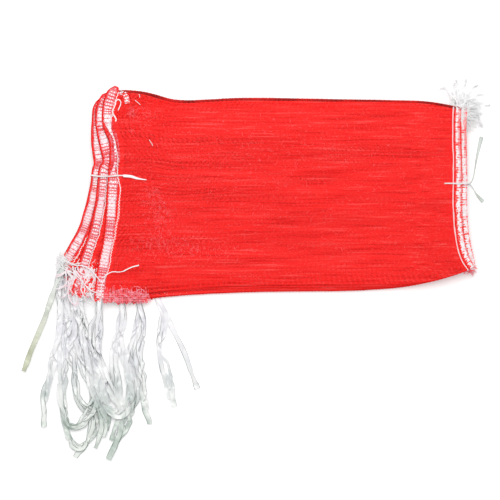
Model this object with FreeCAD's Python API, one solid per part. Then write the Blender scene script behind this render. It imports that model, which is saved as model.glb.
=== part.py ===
import FreeCAD, Part

# A tied bundle of flat mesh drawstring produce bags, lying on its back. Millimetres, +Z up.
# The mouths are at -X, the bottom seams at +X, and the drawstrings leave the mouths at their -Y ends.
# Bag 1 lies lowest. Every bag keeps its own level in the stack, and is fanned about the mouth tie.

import math
import os
from collections import namedtuple

os.makedirs("parts", exist_ok=True)
V = FreeCAD.Vector

# The bags in plan
mouth_x = -203.0  # where the ribbon lies in the mouth of a bag that is not fanned
seam_x = 243.0  # inner edge of the bottom seam
half_width = 122.0
seam_skew = 17.0  # how far beyond that the -Y ends of all seams come together
seam_corner_inset = 10.0  # how far the +Y end of the seam stays inside the mouth corners
seam_foot_inset = 22.0  # the same for the -Y end
edge_bow = 3.0  # how far the +Y edge of a bag bows out

# Net, ribbon and stack
net_thickness = 0.35
ribbon_width = 9.0
ribbon_thickness = 0.15
channel_height = 0.35  # between the two plies of a hem
channel_play = 1.0  # of the ribbon across its channel
mouth_gap = 0.5  # between the front hem and the back hem
bag_clearance = 0.3  # between one bag and the next
side_fold_width = 0.6

# Hem, its stitches and the bottom seam
lip_width = 2.0  # folded net between the channel and the mouth
stitched_width = 4.5  # folded net between the channel and the panel
end_fold = 5.5  # closed end of the hem beyond the turn of the ribbon
turn_clearance = 0.5  # between the turn of the ribbon and the end of its channel
thread_width = 1.2
thread_thickness = 0.3
groove_clearance = 0.1  # each side of a stitch thread
seam_width = 9.5

# Ties
tie_width = 2.2
tie_thickness = 0.3
tie_clearance = 0.3
mouth_tie_y = 24.0
bottom_tie_y = 14.0
mouth_tie_bite = 3.0  # from the hems to where the mouth tie passes through the net
bottom_tie_bite = 8.0  # from the seams to where the bottom tie passes through the net

# Free ends
lead_out = 14.0  # straight ribbon outside its hem
drop_run = 45.0  # plan length over which a tail falls to the floor
floor_gap = 0.2  # under the lowest tail
tail_pitch = 0.4  # from one tail to the next, where they lie on the floor
loose_thread_radius = 0.6
arc_share = 0.45  # share of the shorter run that an arc takes up at a corner

cut_excess = 1.0  # how far a cutter runs past the face that it opens

hem_side = 2 * net_thickness + channel_height
bag_thickness = 2 * hem_side + mouth_gap
bag_pitch = bag_thickness + bag_clearance
tie_pitch = tie_thickness + floor_gap / 2
channel_width = ribbon_width + channel_play
hem_left = channel_width / 2 + stitched_width
hem_right = -channel_width / 2 - lip_width
stitch_offset = channel_width / 2 + stitched_width / 2

# How each bag lies, as departures from a bag that is not fanned: its mouth's +Y corner, where its mouth
# passes the tie, its mouth's -Y corner, its bottom seam, and how far its -Y edge bows out.
Lie = namedtuple("Lie", "corner tie_dx exit seam_dx bow")
lies = [
    Lie(corner=(-3, 5), tie_dx=-6, exit=(58, -10), seam_dx=6, bow=5),
    Lie(corner=(-11, -3), tie_dx=-16, exit=(-55, 38), seam_dx=-3, bow=4),
    Lie(corner=(4, 6), tie_dx=0, exit=(35, -17), seam_dx=9, bow=5),
    Lie(corner=(-8, 4), tie_dx=-9, exit=(-45, 16), seam_dx=-4, bow=2),
    Lie(corner=(1, 9), tie_dx=-3, exit=(14, -16), seam_dx=5, bow=3),
    Lie(corner=(-14, 0), tie_dx=-18, exit=(-60, 32), seam_dx=2, bow=1),
    Lie(corner=(-5, 8), tie_dx=-9, exit=(-40, 10), seam_dx=8, bow=-1),
    Lie(corner=(8, 13), tie_dx=4, exit=(-14, -12), seam_dx=0, bow=-4),
]

# Routes of the drawstring tails in plan, from the end of the lead-out on, measured from where the
# ribbon leaves its hem: the front tail and the back tail of each bag.
tail_routes = [
    (
        [(9, -31), (7, -55), (9, -83), (17, -115), (24, -144)],
        [(15, -28), (25, -49), (37, -72), (46, -97), (54, -121)],
    ),
    (
        [(-7, -37), (-8, -77), (-12, -126), (-15, -178), (-9, -220), (3, -243), (23, -246), (38, -228),
         (43, -200), (39, -170)],
        [(-3, -40), (5, -79), (14, -123), (26, -165), (33, -199), (27, -230), (9, -257)],
    ),
    (
        [(3, -38), (0, -68), (4, -100), (11, -131), (15, -159)],
        [(0, -38), (-10, -70), (-5, -100), (-1, -128), (-14, -157), (-27, -181)],
    ),
    (
        [(-7, -38), (-6, -73), (-9, -112), (-2, -151), (11, -176), (29, -180), (38, -158), (35, -124)],
        [(0, -38), (11, -70), (27, -104), (40, -140), (43, -172), (38, -200)],
    ),
    (
        [(-2, -34), (1, -64), (11, -96), (14, -124), (6, -149)],
        [(-3, -36), (-11, -73), (-8, -111), (-1, -142), (-7, -176), (-17, -206)],
    ),
    (
        [(-12, -29), (-21, -53), (-31, -81), (-44, -112), (-54, -139)],
        [(-7, -32), (-3, -64), (-7, -101), (-19, -137), (-28, -166), (-31, -188), (-28, -211)],
    ),
    (
        [(-6, -36), (-1, -71), (3, -111), (14, -147), (29, -177), (28, -201), (20, -217)],
        [(-3, -38), (8, -75), (17, -116), (20, -153), (8, -182), (-11, -193), (-25, -173), (-28, -137)],
    ),
    (
        [(-3, -36), (1, -68), (13, -100), (23, -125), (27, -147)],
        [(-3, -38), (-6, -75), (-2, -114), (8, -144), (25, -156), (39, -138), (40, -105), (34, -70)],
    ),
]

# Free ends of the seam threads, one for each bag, measured in plan from the +Y end of its seam, with
# the height of each point as a share of the height at which the thread leaves.
seam_thread_routes = [
    [(0, 4, 1), (5, 10, 0.8), (12, 14, 0), (17, 12, 0), (23, 17, 0), (30, 16, 0)],
    [(0, 4, 1), (2, 11, 0.6), (6, 17, 0), (2, 24, 0), (6, 30, 0), (3, 36, 0)],
    [(0, 5, 1), (6, 9, 0.9), (13, 5, 0.4), (15, -4, 0), (21, -11, 0), (21, -19, 0), (26, -26, 0)],
    [(0, 4, 1), (-2, 11, 0.7), (-2, 18, 0.1), (-7, 23, 0), (-4, 29, 0), (-9, 34, 0)],
    [(0, 4, 1), (4, 11, 0.8), (9, 17, 0.3), (15, 20, 0), (17, 26, 0), (24, 29, 0)],
    [(0, 4, 1), (3, 12, 0.8), (8, 19, 0.2), (7, 26, 0), (12, 31, 0), (10, 38, 0)],
    [(0, 4, 1), (5, 10, 0.95), (12, 10, 0.5), (19, 5, 0.1), (26, 6, 0), (31, 2, 0), (37, 3, 0)],
    [(0, 4, 1), (-5, 9, 0.9), (-12, 12, 0.5), (-18, 14, 0.1), (-22, 20, 0), (-29, 21, 0)],
]

# Other free thread ends over the mouths, with their height over the top bag: one measured from that
# bag's +Y corner, the others from where its ribbon leaves the hem.
corner_thread_route = [(2, -26, 0.7), (8, -17, 0.7), (5, -8, 0.7), (-4, -8, 0.7), (-7, -17, 0.7),
                       (-3, -31, 0.7)]
exit_thread_routes = [
    [(4, 26, 0.7), (10, 31, 0.7), (17, 34, 0.7), (24, 33, 0.7), (31, 34, 0.7), (41, 40, 0.7), (51, 42, 0.7)],
    [(1, 21, 0.7), (-4, 27, 0.7), (-11, 36, 0.6), (-22, 42, 0.1), (-35, 42, -2.2), (-47, 49, -4.0),
     (-57, 54, -5.2)],
    [(1, 5, 0.7), (-8, 7, 0.7), (-17, 13, 0.5), (-25, 24, -0.6), (-36, 33, -2.2), (-45, 36, -4.0),
     (-57, 42, -5.2)],
]

# Free ends of the ties, measured in plan from the tie: the mouth tie's lies on the top bag, and the
# bottom tie's two lie on the floor, one on the other where they leave.
mouth_tie_route = [(0, 0), (9, 0), (19, -4), (30, -5)]
bottom_tie_routes = [
    [(0, 0), (4, 0), (8, 7), (10, 19), (13, 38), (19, 62)],
    [(0, 0), (4, 0), (8, -6), (13, -15), (21, -23)],
]


def rounded(points):
    """Straight runs through the points, joined by the largest tangent arcs that the runs allow.

    Returns (start, middle, end) triples. A run has no middle.
    """
    pieces = []
    start = points[0]
    for before, corner, after in zip(points, points[1:], points[2:]):
        back = before - corner
        ahead = after - corner
        reach = arc_share * min(back.Length, ahead.Length)
        back.normalize()
        ahead.normalize()
        half_turn = (math.pi - back.getAngle(ahead)) / 2
        radius = reach / math.tan(half_turn)
        bisector = (back + ahead).normalize()
        middle = corner + bisector * (radius / math.cos(half_turn) - radius)
        pieces.append((start, None, corner + back * reach))
        pieces.append((corner + back * reach, middle, corner + ahead * reach))
        start = corner + ahead * reach
    pieces.append((start, None, points[-1]))
    return pieces


def edge(piece):
    """A run or an arc as an edge."""
    start, middle, end = piece
    if middle is None:
        return Part.LineSegment(start, end).toShape()
    return Part.Arc(start, middle, end).toShape()


def tightest(pieces):
    """Radius of the smallest arc of a rounded path."""
    return min(edge(piece).Curve.Radius for piece in pieces if piece[1])


def shifted(piece, distance):
    """The same run or arc, moved in plan to the left of its travel."""
    start, middle, end = piece
    if middle is None:
        normal = V(start.y - end.y, end.x - start.x, 0).normalize()
        return start + normal * distance, None, end + normal * distance
    centre = edge(piece).Curve.Center
    turn = math.copysign(1, (middle - start).cross(end - middle).z)
    return tuple(point + (centre - point).normalize() * (turn * distance) for point in piece)


def side(pieces, distance):
    """Edges of a path that runs beside the given one."""
    return [edge(shifted(piece, distance)) for piece in pieces]


def ends(edges):
    """First and last point of a chain of edges that run one way."""
    return edges[0].valueAt(edges[0].FirstParameter), edges[-1].valueAt(edges[-1].LastParameter)


def closed_face(edges):
    """Face inside a closed chain of edges."""
    return Part.Face(Part.Wire(edges))


def band(pieces, left, right):
    """Face between two paths beside the given one, each at its distance to the left of travel."""
    left_edges = side(pieces, left)
    right_edges = side(pieces, right)
    left_start, left_end = ends(left_edges)
    right_start, right_end = ends(right_edges)
    far_end = Part.LineSegment(left_end, right_end).toShape()
    near_end = Part.LineSegment(right_start, left_start).toShape()
    return closed_face(left_edges + [far_end] + right_edges[::-1] + [near_end])


def plate(face, low, high):
    """Solid over a face in plan, from one height to another."""
    moved = face.copy()
    moved.translate(V(0, 0, low))
    return moved.extrude(V(0, 0, high - low))


def block(low, high):
    """Box between two corners."""
    size = high - low
    return Part.makeBox(size.x, size.y, size.z, low)


def tube(pieces, radius):
    """Round thread along a path."""
    start, _, end = pieces[0]
    circle = Part.Wire(Part.makeCircle(radius, start, end - start))
    return Part.Wire([edge(piece) for piece in pieces]).makePipeShell([circle], True, True)


def export(node, *solids):
    """Write the separate solids of one node."""
    shape = solids[0] if len(solids) == 1 else Part.makeCompound(solids)
    for solid in shape.Solids:
        if not solid.isValid():
            raise ValueError(node + " has a solid that isn't valid")
    shape.exportStep("parts/" + node + ".step")


class Bag:
    """Where one bag lies, and the lines that its pieces follow."""

    def __init__(self, number, lie):
        self.name = "bag_%d_" % number
        self.low = (number - 1) * bag_pitch
        self.high = self.low + bag_thickness
        self.corner = V(mouth_x + lie.corner[0], half_width + lie.corner[1], 0)
        self.tie = V(mouth_x + lie.tie_dx, mouth_tie_y, 0)
        self.exit = V(mouth_x + lie.exit[0], -half_width + lie.exit[1], 0)
        sideways = 0.28 * (self.exit.x - self.tie.x)
        self.knee = V(self.tie.x + sideways, (self.tie.y + self.exit.y) / 2, 0)
        self.seam_top = V(seam_x + lie.seam_dx, half_width - seam_corner_inset, 0)
        self.seam_foot = V(seam_x + seam_skew, -half_width + seam_foot_inset, 0)
        seam_bend = V(seam_x + lie.seam_dx, 0, 0)
        self.seam = rounded([self.seam_top, seam_bend, self.seam_foot])
        self.top_bow_y = half_width + edge_bow
        self.low_bow_y = -half_width - lie.bow
        self.out = (self.exit - self.knee).normalize()
        self.front_level = self.high - hem_side / 2
        self.back_level = self.low + hem_side / 2

    def mouth(self, start=0.0, beyond=0.0):
        """Path of the ribbon from the +Y corner to the exit, begun or ended further out."""
        upward = (self.corner - self.tie).normalize()
        first = self.corner + upward * start
        return rounded([first, self.tie, self.knee, self.exit + self.out * beyond])

    def outline(self):
        """Edges of a panel in plan: the hem's side, the -Y edge, the seam and the +Y edge."""
        hem_edges = side(self.mouth(), hem_left)
        hem_top, hem_foot = ends(hem_edges)
        low_edge = Part.Arc(hem_foot, V(0, self.low_bow_y, 0), self.seam_foot).toShape()
        seam_edges = side(self.seam, 0)[::-1]
        top_edge = Part.Arc(self.seam_top, V(0, self.top_bow_y, 0), hem_top).toShape()
        return hem_edges + [low_edge] + seam_edges + [top_edge]

    def fold(self, first, bow_y, last, left):
        """Net that turns over at a long edge, from the front panel to the back one."""
        whole = edge((first, V(0, bow_y, 0), last))
        trim = cut_excess / whole.Curve.Radius
        start = whole.valueAt(whole.FirstParameter + trim)
        end = whole.valueAt(whole.LastParameter - trim)
        strip = band([(start, V(0, bow_y, 0), end)], left, left - side_fold_width)
        return plate(strip, self.low + net_thickness, self.high - net_thickness)


def make_hem(bag):
    """Front and back casings round the mouth, joined by the fold at the +Y corner."""
    outer = plate(band(bag.mouth(end_fold), hem_left, hem_right), bag.low, bag.high)
    mouth = band(bag.mouth(-end_fold, cut_excess), hem_left + cut_excess, hem_right - cut_excess)
    channel = band(bag.mouth(turn_clearance, cut_excess), channel_width / 2, -channel_width / 2)
    turn = band(turn_path(bag, turn_clearance, turn_clearance), channel_width / 2, -channel_width / 2)
    groove_half = thread_width / 2 + groove_clearance
    groove = band(bag.mouth(end_fold + cut_excess, cut_excess), stitch_offset + groove_half,
                  stitch_offset - groove_half)
    front_channel = plate(channel, bag.high - net_thickness - channel_height, bag.high - net_thickness)
    back_channel = plate(channel, bag.low + net_thickness, bag.low + net_thickness + channel_height)
    return outer.cut([
        plate(mouth, bag.low + hem_side, bag.high - hem_side),
        front_channel,
        back_channel,
        plate(turn, bag.low + net_thickness, bag.high - net_thickness),
        plate(groove, bag.high - thread_thickness, bag.high + cut_excess),
        plate(groove, bag.low - cut_excess, bag.low + thread_thickness),
    ])


def turn_path(bag, before, after):
    """Short path across the place where the ribbon turns from the front casing to the back one."""
    down = (bag.tie - bag.corner).normalize()
    return [(bag.corner - down * before, None, bag.corner + down * (ribbon_thickness + after))]


def make_drawstring(bag):
    """Ribbon inside the casings: along the front, over the turn and back."""
    run = band(bag.mouth(), ribbon_width / 2, -ribbon_width / 2)
    turn = band(turn_path(bag, 0, 0), ribbon_width / 2, -ribbon_width / 2)
    half = ribbon_thickness / 2
    front = plate(run, bag.front_level - half, bag.front_level + half)
    back = plate(run, bag.back_level - half, bag.back_level + half)
    return front.fuse([back, plate(turn, bag.back_level - half, bag.front_level + half)]).removeSplitter()


def make_tail(bag, route, level, layer):
    """One free end: flat film that leaves its hem, falls to the floor and lies there in its own layer."""
    points = [bag.exit, bag.exit + bag.out * lead_out]
    points += [bag.exit + V(x, y, 0) for x, y in route]
    path = rounded(points)
    rest = floor_gap + ribbon_thickness / 2 + layer * tail_pitch
    half = ribbon_thickness / 2
    fall_y = bag.exit.y - drop_run
    far_y = min(point.y for point in points) - 2 * ribbon_width
    near_y = bag.exit.y + ribbon_width
    profile = [(near_y, level), (bag.exit.y - lead_out / 2, level), (fall_y, rest), (far_y, rest)]
    under = [V(0, y, z - half) for y, z in profile]
    over = [V(0, y, z + half) for y, z in reversed(profile)]
    slab_side = Part.Face(Part.makePolygon(under + over + under[:1]))
    reach_low = min(point.x for point in points) - 2 * ribbon_width
    reach_high = max(point.x for point in points) + 2 * ribbon_width
    slab_side.translate(V(reach_low, 0, 0))
    slab = slab_side.extrude(V(reach_high - reach_low, 0, 0))
    prism = plate(band(path, ribbon_width / 2, -ribbon_width / 2), 0, level + ribbon_width)
    print(bag.name + "tail", round(route_length(path)), "mm long, tightest arc", round(tightest(path), 1))
    return prism.common(slab)


def route_length(path):
    """Length along a rounded path."""
    return sum(edge(piece).Length for piece in path)


def make_seam(bag):
    """Overlocked thread band over the end of both panels."""
    return plate(band(bag.seam, seam_width, 0), bag.low, bag.high)


def tie_ring(y, left, right, top):
    """Flat strand round the stack in a plane across Y: it lies in slots of the lowest bag."""
    half = tie_width / 2
    high = top + tie_clearance + tie_thickness
    outer = block(V(left - tie_thickness, y - half, 0), V(right + tie_thickness, y + half, high))
    inner = block(V(left, y - half - cut_excess, tie_thickness),
                  V(right, y + half + cut_excess, high - tie_thickness))
    return outer.cut(inner)


def tie_slot(y, left, right, top):
    """Room for one tie: under the lowest bag and, at both legs, through the net of every bag."""
    half = tie_width / 2 + tie_clearance
    low = -cut_excess
    clear = tie_thickness + tie_clearance
    under = block(V(left - clear, y - half, low), V(right + clear, y + half, net_thickness))
    legs = [block(V(x - clear, y - half, low), V(x + clear, y + half, top + cut_excess))
            for x in (left, right)]
    return under.fuse(legs)


def make_tie_tail(x, y, route, low):
    """Flat free end of a tie, from the outer face of one of its legs."""
    start = V(x + tie_thickness, y, 0)
    path = rounded([start + V(dx, dy, 0) for dx, dy in route])
    print("tie tail", round(route_length(path)), "mm long, tightest arc", round(tightest(path), 1))
    return plate(band(path, tie_width / 2, -tie_width / 2), low, low + tie_thickness)


def loose_thread(points):
    """Round thread through points in space."""
    path = rounded(points)
    print("thread", round(route_length(path)), "mm long, tightest arc", round(tightest(path), 1))
    return tube(path, loose_thread_radius)


def make_seam_thread(bag, route):
    """Free end of a bag's seam thread: it leaves the seam in line and falls to the floor."""
    rest = floor_gap + loose_thread_radius
    leave = (bag.low + bag.high) / 2
    start = bag.seam_top + V(seam_width / 2, 0, 0)
    points = [start + V(0, 0, leave)]
    points += [start + V(dx, dy, rest + share * (leave - rest)) for dx, dy, share in route]
    return loose_thread(points)


def make_mouth_thread(anchor, route):
    """Free thread end that lies over the mouths."""
    return loose_thread([anchor + V(dx, dy, top + dz) for dx, dy, dz in route])


bags = [Bag(number, lie) for number, lie in enumerate(lies, start=1)]
top = bags[-1].high

mouth_tie_left = min(bag.tie.x for bag in bags) + hem_right - tie_clearance - tie_thickness
mouth_tie_right = max(bag.tie.x for bag in bags) + hem_left + mouth_tie_bite
bottom_tie_left = min(bag.seam_top.x for bag in bags) - bottom_tie_bite
bottom_tie_right = max(bag.seam_top.x for bag in bags) + seam_width + tie_clearance + tie_thickness
slots = [tie_slot(mouth_tie_y, mouth_tie_left, mouth_tie_right, top),
         tie_slot(bottom_tie_y, bottom_tie_left, bottom_tie_right, top)]

for index, bag in enumerate(bags):
    panel = closed_face(bag.outline())
    hem_top, hem_foot = ends(side(bag.mouth(), hem_left))
    folds = [bag.fold(hem_top, bag.top_bow_y, bag.seam_top, 0),
             bag.fold(hem_foot, bag.low_bow_y, bag.seam_foot, side_fold_width)]
    front = plate(panel, bag.high - net_thickness, bag.high).cut(slots)
    back = plate(panel, bag.low, bag.low + net_thickness).cut(slots)
    export(bag.name + "front_panel", front)
    export(bag.name + "back_panel", back, *folds)
    export(bag.name + "mouth_hem", make_hem(bag).cut(slots))
    stitch = band(bag.mouth(), stitch_offset + thread_width / 2, stitch_offset - thread_width / 2)
    export(bag.name + "hem_stitch",
           plate(stitch, bag.high - thread_thickness, bag.high),
           plate(stitch, bag.low, bag.low + thread_thickness).cut(slots))
    export(bag.name + "bottom_seam", make_seam(bag).cut(slots))
    export(bag.name + "drawstring", make_drawstring(bag))
    front_route, back_route = tail_routes[index]
    export(bag.name + "drawstring_tails",
           make_tail(bag, front_route, bag.front_level, 2 * index + 1),
           make_tail(bag, back_route, bag.back_level, 2 * index))

export("mouth_tie", tie_ring(mouth_tie_y, mouth_tie_left, mouth_tie_right, top))
export("bottom_tie", tie_ring(bottom_tie_y, bottom_tie_left, bottom_tie_right, top))
export("tie_tails",
       make_tie_tail(mouth_tie_right, mouth_tie_y, mouth_tie_route, top + floor_gap),
       *[make_tie_tail(bottom_tie_right, bottom_tie_y, route, floor_gap + layer * tie_pitch)
         for layer, route in enumerate(bottom_tie_routes)])
export("thread_tails",
       *[make_seam_thread(bag, route) for bag, route in zip(bags, seam_thread_routes)],
       make_mouth_thread(bags[-1].corner, corner_thread_route),
       *[make_mouth_thread(bags[-1].exit, route) for route in exit_thread_routes])
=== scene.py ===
import math
from collections import namedtuple

import bpy
import numpy as np
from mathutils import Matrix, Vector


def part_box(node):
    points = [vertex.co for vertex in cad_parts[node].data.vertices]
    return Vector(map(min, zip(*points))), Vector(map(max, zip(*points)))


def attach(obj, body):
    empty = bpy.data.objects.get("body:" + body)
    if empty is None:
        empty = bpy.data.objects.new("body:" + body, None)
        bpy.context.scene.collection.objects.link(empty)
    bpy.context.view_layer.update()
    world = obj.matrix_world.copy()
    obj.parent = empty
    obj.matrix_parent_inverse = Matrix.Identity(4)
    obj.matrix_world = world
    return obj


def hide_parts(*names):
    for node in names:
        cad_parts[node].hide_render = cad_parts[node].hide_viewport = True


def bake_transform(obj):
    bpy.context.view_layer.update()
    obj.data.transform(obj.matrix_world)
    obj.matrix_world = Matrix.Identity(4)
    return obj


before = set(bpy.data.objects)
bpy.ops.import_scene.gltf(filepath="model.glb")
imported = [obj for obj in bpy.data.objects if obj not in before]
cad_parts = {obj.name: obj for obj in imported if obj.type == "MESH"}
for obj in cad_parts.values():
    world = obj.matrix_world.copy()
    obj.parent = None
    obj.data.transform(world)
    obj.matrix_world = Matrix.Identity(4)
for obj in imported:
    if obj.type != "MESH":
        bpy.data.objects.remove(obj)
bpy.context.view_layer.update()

# A tied bundle of flat mesh drawstring bags. Lengths here are in millimetres, as in the part's source,
# and MM turns them into Blender's metres. The mouths are at -X, the bottom seams at +X, and the
# drawstrings leave the mouths at their -Y ends. Bag 1 lies lowest.
MM = 0.001
UP = np.array([0.0, 0.0, 1.0])

# ---------------------------------------------------------------- sizes shared with the part's source

mouth_x = -203.0
seam_x = 243.0
half_width = 122.0
seam_skew = 17.0
seam_corner_inset = 10.0
seam_foot_inset = 22.0
mouth_tie_y = 24.0
bottom_tie_y = 14.0
hem_side = 1.05
ribbon_width = 9.0
ribbon_thickness = 0.15
seam_width = 9.5
lead_out = 14.0
drop_run = 45.0
floor_gap = 0.2
tail_pitch = 0.4
thread_diameter = 1.2
tie_width = 2.2

Lie = namedtuple("Lie", "corner tie_dx exit seam_dx bow")
lies = [
    Lie(corner=(-3, 5), tie_dx=-6, exit=(58, -10), seam_dx=6, bow=5),
    Lie(corner=(-11, -3), tie_dx=-16, exit=(-55, 38), seam_dx=-3, bow=4),
    Lie(corner=(4, 6), tie_dx=0, exit=(35, -17), seam_dx=9, bow=5),
    Lie(corner=(-8, 4), tie_dx=-9, exit=(-45, 16), seam_dx=-4, bow=2),
    Lie(corner=(1, 9), tie_dx=-3, exit=(14, -16), seam_dx=5, bow=3),
    Lie(corner=(-14, 0), tie_dx=-18, exit=(-60, 32), seam_dx=2, bow=1),
    Lie(corner=(-5, 8), tie_dx=-9, exit=(-40, 10), seam_dx=8, bow=-1),
    Lie(corner=(8, 13), tie_dx=4, exit=(-14, -12), seam_dx=0, bow=-4),
]

# Routes of the drawstring tails in plan, front and back tail of each bag, from the end of the lead-out
# on, measured from where the ribbon leaves its hem.
tail_routes = [
    ([(9, -31), (7, -55), (9, -83), (17, -115), (24, -144)],
     [(15, -28), (25, -49), (37, -72), (46, -97), (54, -121)]),
    ([(-7, -37), (-8, -77), (-9, -126), (-8, -178), (-3, -220), (6, -246), (20, -250), (30, -230),
      (34, -200), (31, -170)],
     [(-3, -40), (5, -79), (14, -123), (26, -165), (33, -199), (27, -230), (9, -257)]),
    ([(3, -38), (0, -68), (4, -100), (11, -131), (15, -159)],
     [(0, -38), (-10, -70), (-5, -100), (-1, -128), (-14, -157), (-27, -181)]),
    ([(-7, -38), (-6, -73), (-9, -112), (-2, -151), (11, -176), (29, -180), (38, -158), (35, -124)],
     [(0, -38), (11, -70), (27, -104), (40, -140), (43, -172), (38, -200)]),
    ([(-2, -34), (1, -64), (11, -96), (14, -124), (6, -149)],
     [(-3, -36), (-11, -73), (-8, -111), (-1, -142), (-7, -176), (-17, -206)]),
    ([(-12, -29), (-21, -53), (-31, -81), (-44, -112), (-54, -139)],
     [(-7, -32), (-3, -64), (-7, -101), (-19, -137), (-28, -166), (-31, -188), (-28, -211)]),
    ([(-3, -36), (6, -71), (9, -111), (17, -147), (29, -177), (28, -201), (20, -217)],
     [(-3, -38), (8, -75), (17, -116), (20, -153), (8, -182), (-11, -193), (-25, -173), (-28, -137)]),
    ([(-9, -34), (-9, -66), (3, -98), (18, -125), (27, -147)],
     [(-3, -38), (-6, -75), (-2, -114), (8, -144), (25, -156), (39, -138), (40, -105), (34, -70)]),
]
tail_lengths = [(148, 133), (346, 268), (161, 189), (253, 209), (152, 210), (149, 216), (224, 264),
                (152, 253)]

# Free ends of the seam threads in plan, with their height as a share of the height where they leave.
seam_thread_routes = [
    [(0, 4, 1), (5, 10, 0.8), (12, 14, 0), (17, 12, 0), (23, 17, 0), (30, 16, 0)],
    [(0, 4, 1), (2, 11, 0.6), (6, 17, 0), (2, 24, 0), (6, 30, 0), (3, 36, 0)],
    [(0, 5, 1), (6, 9, 0.9), (13, 5, 0.4), (15, -4, 0), (21, -11, 0), (21, -19, 0), (26, -26, 0)],
    [(0, 4, 1), (2, 11, 0.7), (1, 18, 0.1), (5, 22, 0), (0, 26, 0), (3, 32, 0)],
    [(0, 4, 1), (4, 11, 0.8), (9, 17, 0.3), (15, 20, 0), (17, 26, 0), (24, 29, 0)],
    [(0, 4, 1), (3, 12, 0.8), (8, 19, 0.2), (7, 26, 0), (12, 31, 0), (10, 38, 0)],
    [(0, 4, 1), (5, 10, 0.95), (12, 10, 0.5), (19, 5, 0.1), (26, 6, 0), (31, 2, 0), (37, 3, 0)],
    [(0, 4, 1), (-3, 10, 0.9), (-8, 15, 0.5), (-9, 21, 0.1), (-15, 26, 0), (-20, 24, 0)],
]
seam_thread_lengths = [39, 39, 54, 39, 43, 46, 51, 46]

# Other free thread ends over the mouths, with their height over the top bag: one measured from that bag's
# +Y corner, the others from where its ribbon leaves the hem.
corner_thread_route = [
    (2, -26, 0.7), (5.5, -19.3, 0.7), (5.8, -14, 0.7), (2.2, -11.5, 0.7), (-0.8, -14, 0.7), (-1.5, -20, 0.9),
    (-6, -27, 1.1), (-3, -33, 1.1), (0.6, -38.5, 1.0), (-1.5, -40.3, 0.9),
]
exit_thread_routes = [
    [(4, 26, 0.7), (10, 31, 0.7), (17, 34, 0.7), (24, 33, 0.7), (31, 34, 0.7), (41, 40, 0.7), (51, 42, 0.7)],
    [(1, 21, 0.7), (-4, 27, 0.7), (-11, 36, 0.6), (-22, 42, 0.1), (-35, 42, -2.2), (-47, 49, -4.0),
     (-57, 54, -5.2)],
    [(1, 5, 0.7), (-8, 7, 0.7), (-17, 13, 0.5), (-25, 24, -0.6), (-36, 33, -2.2), (-45, 36, -4.0),
     (-57, 42, -5.2)],
]
corner_thread_length = 50
exit_thread_lengths = [51, 70, 71]

# Free ends of the ties in plan, measured from the tie.
mouth_tie_route = [(0, 0), (9, 0), (19, -4), (30, -5)]
bottom_tie_routes = [
    [(0, 0), (4, 0), (8, 7), (10, 19), (13, 38), (19, 62)],
    [(0, 0), (4, 0), (8, -6), (13, -15), (21, -23)],
]
mouth_tie_length = 31
bottom_tie_lengths = [68, 32]

# ---------------------------------------------------------------- camera


def show(name, data):
    """A new object in the scene."""
    thing = bpy.data.objects.new(name, data)
    bpy.context.scene.collection.objects.link(thing)
    return thing


CAMERA_HEIGHT = 2500.0
VIEW_LEVEL = 18.0
VIEW_WIDTH = 650.0  # across the picture at that level
VIEW_CENTRE = (-21.85, -72.15)
SENSOR = 36.0

camera_data = bpy.data.cameras.new("camera")
camera_data.sensor_width = SENSOR
camera_data.lens = SENSOR * (CAMERA_HEIGHT - VIEW_LEVEL) / VIEW_WIDTH
camera_data.clip_end = 100.0
camera = show("camera", camera_data)
camera.location = (VIEW_CENTRE[0] * MM, VIEW_CENTRE[1] * MM, CAMERA_HEIGHT * MM)
bpy.context.scene.camera = camera

# ---------------------------------------------------------------- curves and noise


def bspline(points, samples=40):
    """Quadratic B-spline from the first point to the last, as a dense line."""
    points = np.array(points, float)
    middles = (points[1:] + points[:-1]) / 2
    starts = np.vstack([points[:1], middles[1:-1]])
    ends = np.vstack([middles[1:-1], points[-1:]])
    t = np.linspace(0, 1, samples, endpoint=False)[:, None]
    arcs = zip(starts, points[1:-1], ends)
    return np.vstack([a * (1 - t) ** 2 + 2 * b * t * (1 - t) + c * t**2 for a, b, c in arcs] + [points[-1:]])


def plan(points):
    """Points in plan, at level 0."""
    return [[x, y, 0.0] for x, y in points]


def unit(vectors):
    """The same directions with a length of 1."""
    return vectors / np.maximum(np.linalg.norm(vectors, axis=-1, keepdims=True), 1e-9)


class Line:
    """A curve that is read by its share of length. Outside 0 to 1 it goes straight on."""

    def __init__(self, points):
        self.points = np.array(points, float)
        runs = np.linalg.norm(np.diff(self.points, axis=0), axis=1)
        self.length = runs.sum()
        self.share = np.concatenate([[0], np.cumsum(runs)]) / self.length

    def at(self, share):
        """Points at these shares."""
        inside = np.clip(share, 0, 1)
        found = np.stack([np.interp(inside, self.share, axis) for axis in self.points.T], -1)
        first = (self.points[1] - self.points[0]) / (self.share[1] - self.share[0])
        last = (self.points[-1] - self.points[-2]) / (self.share[-1] - self.share[-2])
        before = np.minimum(share, 0)[..., None] * first
        return found + before + np.maximum(np.asarray(share) - 1, 0)[..., None] * last

    def ahead(self, share):
        """Unit tangents at these shares."""
        step = 1.5 / self.length
        return unit(self.at(np.asarray(share) + step) - self.at(np.asarray(share) - step))

    def left(self, share):
        """Unit normals in plan, to the left of travel."""
        ahead = self.ahead(share)
        return unit(np.stack([-ahead[..., 1], ahead[..., 0], 0 * ahead[..., 0]], -1))

    def beside(self, share, left):
        """Points this far to the left of the line."""
        return self.at(share) + self.left(share) * np.asarray(left)[..., None]


def eased(value):
    """0 below 0, 1 above 1, and smooth between."""
    value = np.clip(value, 0, 1)
    return value * value * (3 - 2 * value)


NOISE_CELLS = 64


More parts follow.
